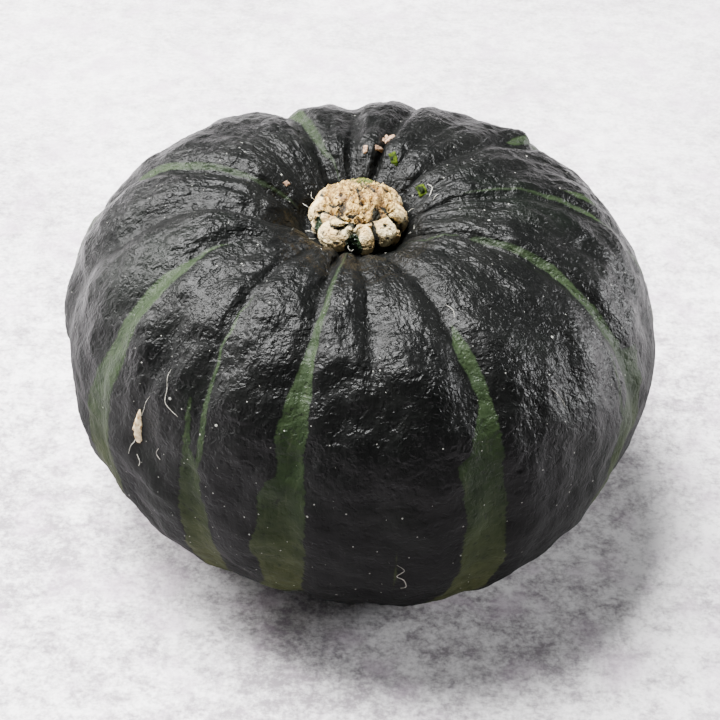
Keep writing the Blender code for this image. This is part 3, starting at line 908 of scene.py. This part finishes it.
def mossMask(tree, place, fine):
    # a spot round the moss's centre, its edge pushed about by the fine noise
    ends = {0: place, 1: corkFinish["mossCentre"]}
    spot = addNode(tree, "ShaderNodeVectorMath", ends, operation="DISTANCE")
    ragged = plus(tree, spot.outputs["Value"], times(tree, minus(tree, fine, 0.5), 0.014))
    return smoothBand(tree, ragged, *corkFinish["mossReach"])


def makeCorkMaterial(groups):
    # cream cork, tan in the cracks, painted shade in the deepest cracks, the grooves and the hollows between
    # the bulbs, smooth green skin low down, moss at the back of the dome
    material, tree, shader, coordinates = newMaterial("cork")
    place = coordinates["Object"]
    dome = fieldOf(tree, "dome")
    ridge = fieldOf(tree, "ridge")
    fine = noiseAt(tree, place, 1500.0, 4.0, 0.65)
    centred = minus(tree, fine, 0.5)
    green = smoothBand(tree, plus(tree, fieldOf(tree, "greenSkin"), times(tree, centred, 0.5)), 0.35, 0.5)
    colour = creamCork(tree, groups, place, dome)
    layers = [
        ("tan", times(tree, smoothBand(tree, ridge, 0.0, -0.40), plus(tree, times(tree, dome, 0.5), 0.3))),
        # painted shade: the deepest cracks darkened to near-black
        ("crack", times(tree, smoothBand(tree, ridge, -0.36, -0.60), smoothBand(tree, fine, 0.25, 0.55))),
        # painted shade: the grooves darkened to near-black
        ("grooveShade", smoothBand(tree, plus(tree, fieldOf(tree, "grooveShade"), centred), 0.30, 0.62)),
        # painted shade in the recesses between the bulbs
        ("hollow", times(tree, smoothBand(tree, fieldOf(tree, "hollow"), 0.70, 1.0), 0.9)),
        ("greenSkin", green),
    ]
    for name, share in layers:
        colour = mixColour(tree, share, colour, corkFinish[name])
    moss = mixColour(tree, smoothBand(tree, fine, 0.35, 0.7), *corkFinish["moss"])
    colour = mixColour(tree, mossMask(tree, place, fine), colour, moss)
    height = plus(tree, effect(tree, groups["grain"], place, *corkFinish["grain"]), times(tree, fine, 0.5))
    roughness = roughnessFrom(tree, corkFinish["roughness"], [(green, -0.45)])
    finishShader(tree, shader, colour, height, corkFinish["bumpDepth"], roughness)
    return material


# Marks on the skin. Azimuth and place along the meridian, then sizes in mm.
marks = {
    # thickness, then the corners of the outline as (azimuth, along)
    "scabs": [
        (0.55, [(88.6, 0.868), (85.8, 0.868), (85.4, 0.881), (88.0, 0.883)]),
        (0.80, [(82.4, 0.866), (78.6, 0.862), (78.2, 0.869), (82.0, 0.874)]),
        (0.95, [(79.6, 0.818), (75.4, 0.812), (73.4, 0.826), (74.6, 0.846), (78.8, 0.842)]),
        (0.45, [(80.2, 0.832), (78.8, 0.831), (78.7, 0.840), (80.0, 0.843)]),
        (0.45, [(155.0, 0.892), (151.6, 0.894), (152.0, 0.901), (155.4, 0.900)]),
    ],
    "scrapes": [
        (0.55, [(71.4, 0.878), (67.6, 0.871), (61.8, 0.894), (66.8, 0.892)]),
        (0.50, [(34.6, 0.909), (31.6, 0.897), (22.6, 0.902), (25.4, 0.914)]),
    ],
    "scrapeHearts": [
        (0.75, [(69.6, 0.882), (67.4, 0.880), (66.2, 0.887), (67.6, 0.889)]),
        (0.80, [(33.0, 0.907), (30.4, 0.900), (24.6, 0.903), (26.6, 0.911)]),
    ],
    "flakes": [
        (0.75, [(226.0, 0.498), (225.0, 0.495), (224.2, 0.512), (224.4, 0.528), (225.2, 0.541),
                (225.9, 0.522)]),
    ],
    # paths of (azimuth, along, lift) with the thread's radius
    "threads": [
        (0.11, [(225.0, 0.506, 0.3), (224.7, 0.497, 0.4), (223.9, 0.488, 0.3), (223.6, 0.478, 0.1)]),
        (0.07, [(225.6, 0.532, 0.1), (226.1, 0.542, 0.2), (226.3, 0.552, 0.1), (227.0, 0.562, 0.0)]),
        (0.10, [(229.6, 0.603, 0.1), (229.9, 0.594, 0.4), (230.6, 0.581, 0.3), (231.2, 0.568, 0.5),
                (232.6, 0.562, 0.4), (234.2, 0.558, 0.1)]),
        (0.09, [(230.6, 0.506, 0.1), (230.1, 0.498, 0.3), (231.2, 0.493, 0.1)]),
        (0.09, [(225.4, 0.482, 0.1), (226.4, 0.476, 0.3), (226.2, 0.470, 0.1)]),
        (0.11, [(277.2, 0.428, 0.1), (278.6, 0.420, 0.6), (277.4, 0.411, 0.8), (278.8, 0.400, 0.5),
                (279.4, 0.388, 0.7), (278.6, 0.379, 0.1)]),
        (0.08, [(309.6, 0.607, 0.0), (310.6, 0.599, 0.1), (311.6, 0.585, 0.1), (311.4, 0.574, 0.0)]),
        (0.08, [(296.6, 0.745, 0.0), (297.3, 0.735, 0.2), (296.6, 0.726, 0.0)]),
        (0.13, [(30.0, 0.894, 0.1), (25.6, 0.891, 0.5), (20.6, 0.895, 0.5), (17.0, 0.901, 0.1)]),
        (0.10, [(15.6, 0.889, 0.1), (14.4, 0.893, 0.3), (13.2, 0.898, 0.1)]),
    ],
    # material name, its two tones, roughness and index of refraction
    "finishes": {
        "scabs": ("scab", (0.13, 0.070, 0.040), (0.44, 0.29, 0.19), 0.85, 1.35),
        "scrapes": ("scrape", (0.008, 0.016, 0.0008), (0.040, 0.062, 0.003), 0.8, 1.15),
        "scrapeHearts": ("scrapeHeart", (0.002, 0.004, 0.001), (0.010, 0.016, 0.003), 0.7, 1.15),
        "flakes": ("flake", (0.30, 0.18, 0.07), (0.70, 0.58, 0.36), 0.85, 1.35),
        "threads": ("thread", (0.22, 0.21, 0.18), (0.46, 0.45, 0.39), 0.7, 1.35),
    },
}


def skinFrame(turn, along):
    # the skin's point, outward normal, and the directions round the fruit and up the meridian, in metres
    azimuth = np.radians(np.asarray(turn, dtype=float))
    along = np.asarray(along, dtype=float)
    point = fruitSkin(azimuth, along)
    normal = surfaceNormals(fruitBase, azimuth, along)
    east = np.stack([-np.sin(azimuth), np.cos(azimuth), np.zeros_like(azimuth)], axis=-1)
    east = east - normal * (east * normal).sum(axis=-1, keepdims=True)
    east = east / np.linalg.norm(east, axis=-1, keepdims=True)
    return point, normal, east, np.cross(normal, east)


def outlineReach(corners, angles):
    # how far the middle sees in each direction before the nearest edge line of the outline
    edges = np.roll(corners, -1, axis=0) - corners
    outward = np.stack([edges[:, 1], -edges[:, 0]], axis=1)
    offsets = (outward * corners).sum(axis=1)
    outward = outward * np.sign(offsets)[:, None]
    facing = np.stack([np.cos(angles), np.sin(angles)], axis=-1) @ outward.T
    return np.where(facing > 1e-6, np.abs(offsets) / np.maximum(facing, 1e-6), np.inf).min(axis=-1)


def makeLens(name, mark, seed):
    # a thin closed scale: rings from the middle out to a ragged outline and back over the top, following the
    # skin and sunk a little into it
    thick, outline = mark
    turns, alongs = np.array(outline).T
    turn, along = turns.mean(), alongs.mean()
    radius = turnedProfile(np.array(along))[0]
    corners = np.stack([np.radians(turns - turn) * radius, (alongs - along) * meridianLength], axis=1)
    around = np.arange(40) / 40 * math.tau
    level = np.linspace(0.03, 0.97, 9)
    rounds, levels = np.meshgrid(around, level)
    circle = np.stack([np.cos(rounds), np.sin(rounds), np.full(rounds.shape, seed * 3.1)], axis=-1)
    ragged = 1 + 0.12 * layeredNoise(circle, 0.5, seed) + 0.08 * softNoise(circle, 0.25, seed + 5)
    share = np.sin(np.pi * levels) ** 0.45
    reach = share * ragged * outlineReach(corners, around)
    u = reach * np.cos(rounds)
    v = reach * np.sin(rounds)
    point, normal, _, _ = skinFrame(turn + np.degrees(u / radius), along + v / meridianLength)
    rough = 0.35 * thick * layeredNoise(np.stack([u, v, u * 0], axis=-1), 1.3, seed + 9)
    lift = np.where(levels < 0.5, -0.30, thick * (1 - 0.6 * share ** 4) + rough)
    return closedSurface(name, point + normal * (lift * mm)[..., None])


def makeTube(name, path, radius, sides=6):
    # a tube along a Catmull-Rom curve through the path, in metres, thinner at both ends and closed there
    path = np.asarray(path, dtype=float)
    fine = np.linspace(0, len(path) - 1, len(path) * 5)
    low = np.clip(np.floor(fine).astype(int), 0, len(path) - 2)
    share = (fine - low)[:, None]
    before = path[np.maximum(low - 1, 0)]
    after = path[np.minimum(low + 2, len(path) - 1)]
    first, last = path[low], path[low + 1]
    curve = first + 0.5 * share * (last - before + share * (
        2 * before - 5 * first + 4 * last - after + share * (3 * (first - last) + after - before)))
    tangent = np.gradient(curve, axis=0)
    tangent = tangent / np.maximum(np.linalg.norm(tangent, axis=1, keepdims=True), 1e-12)
    side = np.cross(tangent, (0.31, 0.52, 0.79))
    side = side / np.linalg.norm(side, axis=1, keepdims=True)
    over = np.cross(tangent, side)
    taper = radius * (0.35 + 0.65 * np.sin(np.pi * (fine + 0.4) / (len(path) - 0.2)))
    turn = (np.arange(sides) / sides * math.tau)[None, :, None]
    circle = np.cos(turn) * side[:, None] + np.sin(turn) * over[:, None]
    return closedSurface(name, curve[:, None] + taper[:, None, None] * circle)


def joinPieces(name, pieces):
    # one mesh out of several, so that the small marks stay few objects
    points, faces, start = [], [], 0
    for piece in pieces:
        mesh = piece.data
        own = np.empty(len(mesh.vertices) * 3)
        mesh.vertices.foreach_get("co", own)
        points.append(own.reshape(-1, 3))
        faces += [[start + corner for corner in face.vertices] for face in mesh.polygons]
        start += len(mesh.vertices)
        bpy.data.objects.remove(piece)
    return meshObject(name, np.concatenate(points), faces)


def dress(piece, material, node=None):
    # the material, the body it moves with and the node it stands for
    piece.data.materials.append(material)
    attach(piece, "root")
    if node:
        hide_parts(node)


def makeThreads(materials):
    # tubes along paths that run at a small lift over the skin
    threads = []
    for radius, path in marks["threads"]:
        turn, along, lift = np.array(path).T
        point, normal, _, _ = skinFrame(turn, along)
        threads.append(makeTube("tube", point + normal * (lift * mm)[:, None], radius * mm))
    dress(joinPieces("threads", threads), materials["threads"])


def makeHairs(materials):
    # tubes along paths round the stem's axis, measured from its seat
    low, high = (np.array(corner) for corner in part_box("stem"))
    middle = (low + high) / 2
    hairs = []
    for radius, path in stem["hairs"]:
        turn, out, height = np.array(path).T
        azimuth = np.radians(turn)
        place = np.stack([out * np.cos(azimuth), out * np.sin(azimuth), height], axis=-1) * mm
        hairs.append(makeTube("tube", place + (middle[0], middle[1], low[2]), radius * mm))
    dress(joinPieces("stemHairs", hairs), materials["threads"])


def makeMarks(materials):
    for kind in ("scabs", "scrapes", "scrapeHearts", "flakes"):
        lenses = [makeLens("lens", mark, 70 + number) for number, mark in enumerate(marks[kind])]
        dress(joinPieces(kind, lenses), materials[kind])
    makeThreads(materials)
    makeHairs(materials)


def makePlainMaterial(groups, name, first, second, roughness, ior):
    # two tones mottled by layered noise, over a fine grain
    material, tree, shader, coordinates = newMaterial(name, IOR=ior)
    place = coordinates["Object"]
    patch = effect(tree, groups["mottle"], place, 650.0, 0.38, 0.62)
    height = effect(tree, groups["grain"], place, 1300.0, 1000.0, 0.0006)
    rough = roughnessFrom(tree, roughness - 0.08, [(patch, 0.15)])
    finishShader(tree, shader, mixColour(tree, patch, first, second), height, 0.0002, rough)
    return material


ground = {
    "size": 1.6,                      # metres from the middle to each edge
    "steps": 33,
    "riseFrom": 0.9,                  # it rises behind this line
    "rise": 0.6,
    "tones": ((0.23, 0.205, 0.225), (0.80, 0.78, 0.79)),
    "lilac": (0.48, 0.38, 0.47),
    # painted shade for the floor's front right
    "paintedShade": (0.36, 0.34, 0.36),
}


def groundColour(tree, groups, place):
    # three noises summed, calmer towards the back, between two tones; lilac mottle; painted shade at the
    # front right
    share = times(tree, noiseAt(tree, place, 14.0, 5.0, 0.6), 0.30)
    share = plus(tree, share, times(tree, noiseAt(tree, place, 130.0, 6.0, 0.75), 0.45))
    share = plus(tree, share, times(tree, noiseAt(tree, place, 560.0, 3.0, 0.7), 0.25))
    sideways, depth, _ = addNode(tree, "ShaderNodeSeparateXYZ", {"Vector": place}).outputs
    far = times(tree, smoothBand(tree, depth, -0.02, 0.30), 0.5)
    share = plus(tree, share, times(tree, far, minus(tree, 0.53, share)))
    colour = mixColour(tree, smoothBand(tree, share, 0.40, 0.60), *ground["tones"])
    lilac = times(tree, effect(tree, groups["mottle"], place, 48.0, 0.50, 0.68), 0.5)
    colour = mixColour(tree, lilac, colour, ground["lilac"])
    # painted shade: darker towards the front right, where the fruit's shadow falls
    corner = times(tree, smoothBand(tree, minus(tree, sideways, depth), 0.10, 0.32), 0.5)
    return mixColour(tree, corner, colour, ground["paintedShade"])


def makeFloor(groups):
    # a square grid, flat but for a rise at the back that grows with the square of the distance
    step = ground["steps"]
    spread = np.linspace(-ground["size"], ground["size"], step)
    x, y = np.meshgrid(spread, spread)
    rise = (y - ground["riseFrom"]).clip(0) ** 2 * ground["rise"]
    points = np.stack([x, y, rise], axis=-1).reshape(-1, 3)
    index = np.arange(step * step).reshape(step, step)
    corners = [index[:-1, :-1], index[:-1, 1:], index[1:, 1:], index[1:, :-1]]
    floor = meshObject("floor", points, np.stack(corners, axis=-1).reshape(-1, 4).tolist())
    material, tree, shader, coordinates = newMaterial("paleFloor", Roughness=0.75)
    colour = groundColour(tree, groups, coordinates["Object"])
    tree.links.new(colour, shader.inputs["Base Color"])
    floor.data.materials.append(material)


lights = {
    "aim": (0, 0, 0.05),
    # name, place, width and height, power, colour
    "lamps": [
        ("windowLight", (-1.00, 0.50, 0.82), (0.6, 0.6), 50, (1.0, 0.99, 0.98)),
        ("overheadLight", (-0.38, 0.20, 1.30), (0.66, 0.62), 130, (1.0, 1.0, 1.0)),
        ("lowLight", (-1.30, 0.10, 0.45), (0.5, 0.5), 8, (1.0, 1.0, 1.0)),
        ("sideLight", (1.25, 0.35, 0.30), (0.5, 0.4), 32, (0.98, 0.99, 1.0)),
    ],
    "roomColour": (0.95, 0.97, 1.0),
    "roomStrength": 0.012,
    "brightSide": (0.66, 0.68, 0.32),    # the room is brighter this way
    "brightStrength": 0.04,
}


def addArea(name, place, size, power, colour):
    light = bpy.data.lights.new(name, "AREA")
    light.shape = "RECTANGLE"
    light.size, light.size_y = size
    light.energy = power
    light.color = colour
    lamp = bpy.data.objects.new(name, light)
    lamp.location = place
    lamp.rotation_euler = (Vector(lights["aim"]) - Vector(place)).to_track_quat("-Z", "Y").to_euler()
    bpy.context.scene.collection.objects.link(lamp)


def makeLights():
    for lamp in lights["lamps"]:
        addArea(*lamp)
    world = bpy.data.worlds.new("softRoom")
    bpy.context.scene.world = world
    world.use_nodes = True
    tree = world.node_tree
    background = tree.nodes["Background"]
    background.inputs["Color"].default_value = (*lights["roomColour"], 1.0)
    direction = addNode(tree, "ShaderNodeTexCoord").outputs["Generated"]
    sides = {0: direction, 1: lights["brightSide"]}
    facing = addNode(tree, "ShaderNodeVectorMath", sides, operation="DOT_PRODUCT")
    bright = times(tree, smoothBand(tree, facing.outputs["Value"], -0.05, 0.95), lights["brightStrength"])
    tree.links.new(plus(tree, bright, lights["roomStrength"]), background.inputs["Strength"])


view = {
    "distance": 0.630,                # metres, as aim is
    "elevation": 37.2,                # degrees, as roll is
    "lens": 101.5,
    "aim": (0.0, 0.0, 0.0511),
    "roll": 2.75,
}


def makeCamera():
    data = bpy.data.cameras.new("camera")
    data.lens = view["lens"]
    data.sensor_width = 36.0
    camera = bpy.data.objects.new("camera", data)
    tilt = math.radians(view["elevation"])
    away = Vector((0.0, -math.cos(tilt), math.sin(tilt))) * view["distance"]
    target = Vector(view["aim"])
    look = (-away).to_track_quat("-Z", "Y").to_matrix().to_4x4()
    roll = Matrix.Rotation(math.radians(view["roll"]), 4, "Z")
    camera.matrix_world = Matrix.Translation(target + away) @ look @ roll
    bpy.context.scene.collection.objects.link(camera)
    bpy.context.scene.camera = camera


print("camera and light")
makeCamera()
makeLights()
shared = {"grain": makeGrainGroup(), "specks": makeSpeckGroup(), "mottle": makeMottleGroup()}
makeFloor(shared)
print("fruit")
dress(makeFruit(), makeRindMaterial(shared), "squash_body")
print("stem")
dress(makeStem(), makeCorkMaterial(shared), "stem")
print("marks and fibres")
makeMarks({kind: makePlainMaterial(shared, *finish) for kind, finish in marks["finishes"].items()})
